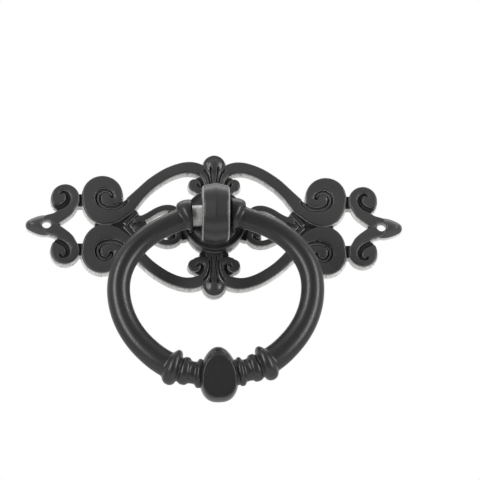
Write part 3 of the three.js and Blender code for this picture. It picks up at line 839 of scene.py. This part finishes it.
def sweep_tree(material):
    """Geometry Nodes: sweeps a round section along a curve, sized by the curve's own radius."""
    tree = bpy.data.node_groups.new("swept_bar", "GeometryNodeTree")
    tree.interface.new_socket("Path", in_out="INPUT", socket_type="NodeSocketGeometry")
    sides = tree.interface.new_socket("Sides", in_out="INPUT", socket_type="NodeSocketInt")
    scale = tree.interface.new_socket(
        "Section Scale", in_out="INPUT", socket_type="NodeSocketFloat"
    )
    tree.interface.new_socket("Bar", in_out="OUTPUT", socket_type="NodeSocketGeometry")
    start = tree.nodes.new("NodeGroupInput")
    end = tree.nodes.new("NodeGroupOutput")
    section = tree.nodes.new("GeometryNodeCurvePrimitiveCircle")
    radius = tree.nodes.new("GeometryNodeInputRadius")
    sweep = tree.nodes.new("GeometryNodeCurveToMesh")
    weld = tree.nodes.new("GeometryNodeMergeByDistance")
    realize = tree.nodes.new("GeometryNodeRealizeInstances")
    finish = tree.nodes.new("GeometryNodeSetMaterial")
    sweep.inputs["Fill Caps"].default_value = True
    weld.inputs["Distance"].default_value = 1e-7
    finish.inputs["Material"].default_value = material
    join = tree.links.new
    join(start.outputs["Sides"], section.inputs["Resolution"])
    join(start.outputs["Section Scale"], section.inputs["Radius"])
    join(start.outputs["Path"], sweep.inputs["Curve"])
    join(section.outputs["Curve"], sweep.inputs["Profile Curve"])
    join(radius.outputs["Radius"], sweep.inputs["Scale"])
    join(sweep.outputs["Mesh"], weld.inputs["Geometry"])
    join(weld.outputs["Geometry"], realize.inputs["Geometry"])
    join(realize.outputs["Geometry"], finish.inputs["Geometry"])
    join(finish.outputs["Geometry"], end.inputs["Bar"])
    return tree, sides.identifier, scale.identifier


def cut_socket(bar, face_middle):
    """A blind hole for the pin's end, to SOCKET_DEPTH either side of a bell's face."""
    profile = [
        (0, -SOCKET_DEPTH), (SOCKET_RADIUS, -SOCKET_DEPTH), (SOCKET_RADIUS, SOCKET_DEPTH),
        (0, SOCKET_DEPTH),
    ]
    drill = turned_piece("drill", profile, PIN_AXIS, face_middle, ring_black)
    modifier = bar.modifiers.new("socket", "BOOLEAN")
    modifier.operation = "DIFFERENCE"
    modifier.solver = "EXACT"
    modifier.object = drill
    bar.data = evaluated_mesh(bar)
    bar.modifiers.remove(modifier)
    bpy.data.objects.remove(drill)


def build_ring_bar():
    path, even = ring_path()
    curve = bpy.data.curves.new("ring_path", "CURVE")
    curve.dimensions = "3D"
    curve.twist_mode = "MINIMUM"
    spline = curve.splines.new("POLY")
    spline.points.add(len(path) - 1)
    for point, (x, y), distance in zip(spline.points, path, even):
        point.co = (*(in_ring(x, y) * MM), 1)
        point.radius = bar_radius(distance, even[-1])
    guide = bpy.data.objects.new("ring_path", curve)
    bpy.context.collection.objects.link(guide)
    tree, sides, scale = sweep_tree(ring_black)
    modifier = guide.modifiers.new("sweep", "NODES")
    modifier.node_group = tree
    modifier[sides] = BAR_SIDES
    modifier[scale] = MM
    mesh = evaluated_mesh(guide)
    bpy.data.objects.remove(guide)
    mesh.name = "ring_bar"
    mesh.polygons.foreach_set("use_smooth", [len(p.vertices) < 5 for p in mesh.polygons])
    if not mesh.materials:
        mesh.materials.append(ring_black)
    bar = bpy.data.objects.new("ring_bar", mesh)
    bpy.context.collection.objects.link(bar)
    for side in (-1, 1):
        cut_socket(bar, ring_middle + PIN_AXIS * (side * BELL_FACE))
    mark_worn(bar, gain=2.2, rounds=1)
    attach(bar, "ring")
    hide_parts("ring")


def build_knop():
    """The striking knop: an egg, broad end down, with a flat facet cut on its front."""
    reach = (3.9, 5.2, 5.0)
    x, y, out = (np.arange(-far, far, KNOP_STEP) for far in reach)
    x, y, out = x[:, None, None], y[None, :, None], out[None, None, :]
    rise = np.clip((y + 4.7) / 9.4, 0, 1)
    half = KNOP_HALF_WIDTH - 1.35 * np.clip(rise - 0.35, 0, 1) ** 1.3
    box = 2 + 0.6 * np.clip(-y / 2, 0, 1)
    section = (np.abs(x / half) ** 2.5 + np.abs(out / KNOP_HALF_DEPTH) ** 2.5) ** 0.4
    tall = np.abs(y / KNOP_HALF_HEIGHT)
    egg = ((section**box + tall**box) ** (1 / box) - 1) * half
    facet = out - FACET_OUT - FACET_SLOPE * y
    egg = smooth_max(egg, facet, 0.1)
    origin = tuple(-far for far in reach)
    points, quads = skin(egg.astype(np.float32), origin, (KNOP_STEP,) * 3)
    placed = [in_ring(a, b - RING_DROP, c) for a, b, c in points.tolist()]
    knop = make_piece("ring_knop", placed, quads, ring_black)
    mark_worn(knop, gain=3.4, rounds=4)
    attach(knop, "ring")


# ---------------------------------------------------------- turned steel

def turned_piece(name, profile, axis, centre, material):
    """A closed turned piece from (radius, along) points that end on the axis or form a loop."""
    axis = Vector(axis).normalized()
    side = axis.orthogonal().normalized()
    other = axis.cross(side)
    loop = abs(profile[0][0]) > 0
    rings = []
    points = []
    for radius, along in profile:
        if radius == 0:
            rings.append([len(points)] * TURNED_SIDES)
            points.append(centre + axis * along)
            continue
        rings.append(list(range(len(points), len(points) + TURNED_SIDES)))
        for k in range(TURNED_SIDES):
            a = 2 * math.pi * k / TURNED_SIDES
            across, over = radius * math.cos(a), radius * math.sin(a)
            points.append(centre + axis * along + side * across + other * over)
    faces = []
    pairs = list(zip(rings, rings[1:])) + ([(rings[-1], rings[0])] if loop else [])
    for low, high in pairs:
        for k in range(TURNED_SIDES):
            n = (k + 1) % TURNED_SIDES
            corners = [low[k], low[n], high[n], high[k]]
            faces.append(list(dict.fromkeys(corners)))
    return make_piece(name, points, faces, material)


def rounded(corners, radius, steps=4):
    """A profile with its middle corners rounded."""
    out = [corners[0]]
    for before, at, after in zip(corners, corners[1:], corners[2:]):
        b, p, a = (Vector(c) for c in (before, at, after))
        start = p + (b - p).normalized() * min(radius, (b - p).length / 2)
        end = p + (a - p).normalized() * min(radius, (a - p).length / 2)
        for k in range(steps + 1):
            t = k / steps
            out.append(tuple(start * (1 - t) ** 2 + p * 2 * t * (1 - t) + end * t**2))
    return [*out, corners[-1]]


def build_pin():
    half = (pin_high.x - pin_low.x) / 2 / PIN_AXIS.x - PIN_END_GAP
    end, shoulder = PIN_RADIUS - PIN_CHAMFER, half - PIN_CHAMFER
    profile = rounded([
        (0, -half), (end, -half), (PIN_RADIUS, -shoulder), (PIN_RADIUS, shoulder), (end, half),
        (0, half),
    ], 0.1)
    pin = turned_piece("pivot_pin_steel", profile, PIN_AXIS, ring_middle, pin_steel)
    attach(pin, "pin")
    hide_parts("pivot_pin")


def build_washer():
    outer, inner = washer_high.x, STUD_HOLE_RADIUS
    back, front = washer_high.y, washer_low.y
    start = ((inner + outer) / 2, back)
    corners = [(inner, back), (inner, front), (outer, front), (outer, back)]
    profile = rounded([start, *corners, start], WASHER_ROUNDING)[:-1]
    washer = turned_piece("rear_washer_steel", profile, (0, 1, 0), Vector((0, 0, 0)), washer_steel)
    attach(washer, "plate")
    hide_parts("rear_washer")


build_backplate()
build_post()
build_ring_bar()
build_knop()
build_pin()
build_washer()

# ---------------------------------------------------------- floor, light and camera

def build_floor():
    """A large pale floor, below and behind the knocker."""
    mesh = bpy.data.meshes.new("floor")
    size, front, level = 3.0, -0.3, -0.4
    corners = [
        (-size, front, level), (size, front, level), (size, size, level), (-size, size, level),
    ]
    mesh.from_pydata(corners, [], [(0, 1, 2, 3)])
    floor_finish = Finish("pale_floor")
    haze = floor_finish.noise(0.002, detail=2.0)
    mesh.materials.append(floor_finish.set(
        Base_Color=floor_finish.blend(haze, grey(0.78), grey(0.84)), Roughness=0.8
    ))
    floor = bpy.data.objects.new("floor", mesh)
    bpy.context.collection.objects.link(floor)


def soft_light(name, place, size, power):
    """A rectangular lamp turned to the knocker."""
    data = bpy.data.lights.new(name, "AREA")
    data.shape = "RECTANGLE"
    data.size, data.size_y = size
    data.energy = power
    lamp = bpy.data.objects.new(name, data)
    lamp.location = place
    lamp.rotation_euler = (Vector() - lamp.location).to_track_quat("-Z", "Y").to_euler()
    bpy.context.collection.objects.link(lamp)


def build_world():
    """White behind the knocker, dimmer in front of it, a little brighter overhead."""
    world = bpy.data.worlds.new("studio")
    bpy.context.scene.world = world
    world.use_nodes = True
    tree = world.node_tree
    coordinate = tree.nodes.new("ShaderNodeTexCoord")
    split = tree.nodes.new("ShaderNodeSeparateXYZ")
    tree.links.new(coordinate.outputs["Generated"], split.inputs[0])
    depth = Value(tree, split.outputs["Y"])
    height = Value(tree, split.outputs["Z"])
    level = (0.42 + depth * 0.62 + height * 0.35).clamped()
    lifted = level * 0.86 + 0.14
    tree.links.new(lifted.socket, tree.nodes["Background"].inputs["Color"])


build_floor()
build_world()
soft_light("left_strip", place=(-0.34, -0.36, 0.05), size=(0.08, 0.5), power=2.0)
soft_light("right_strip", place=(0.4, -0.3, 0.05), size=(0.08, 0.5), power=2.0)
soft_light("overhead", place=(0, 0.12, 0.45), size=(0.6, 0.1), power=0.7)

AZIMUTH, ELEVATION = math.radians(-2.0), math.radians(-15.0)
VIEW_WIDTH = 480
VIEW_UNITS_PER_MM = 5.785
DISTANCE = 0.9  # of the camera, m
SENSOR = 36
AIM_RIGHT, AIM_DOWN = 4.53, 1.95  # mm from the knocker's middle
toward = Vector((
    math.sin(AZIMUTH) * math.cos(ELEVATION),
    -math.cos(AZIMUTH) * math.cos(ELEVATION),
    math.sin(ELEVATION),
))
right = Vector((math.cos(AZIMUTH), math.sin(AZIMUTH), 0))
up = toward.cross(right)
aim = right * AIM_RIGHT * MM - up * AIM_DOWN * MM
camera_data = bpy.data.cameras.new("camera")
camera_data.sensor_width = SENSOR
camera_data.lens = SENSOR * DISTANCE / (VIEW_WIDTH / VIEW_UNITS_PER_MM * MM)
camera_data.clip_start = 0.01
camera = bpy.data.objects.new("camera", camera_data)
camera.location = aim + toward * DISTANCE
camera.rotation_euler = (-toward).to_track_quat("-Z", "Y").to_euler()
bpy.context.collection.objects.link(camera)
bpy.context.scene.camera = camera
bpy.context.scene.view_settings.view_transform = "Standard"
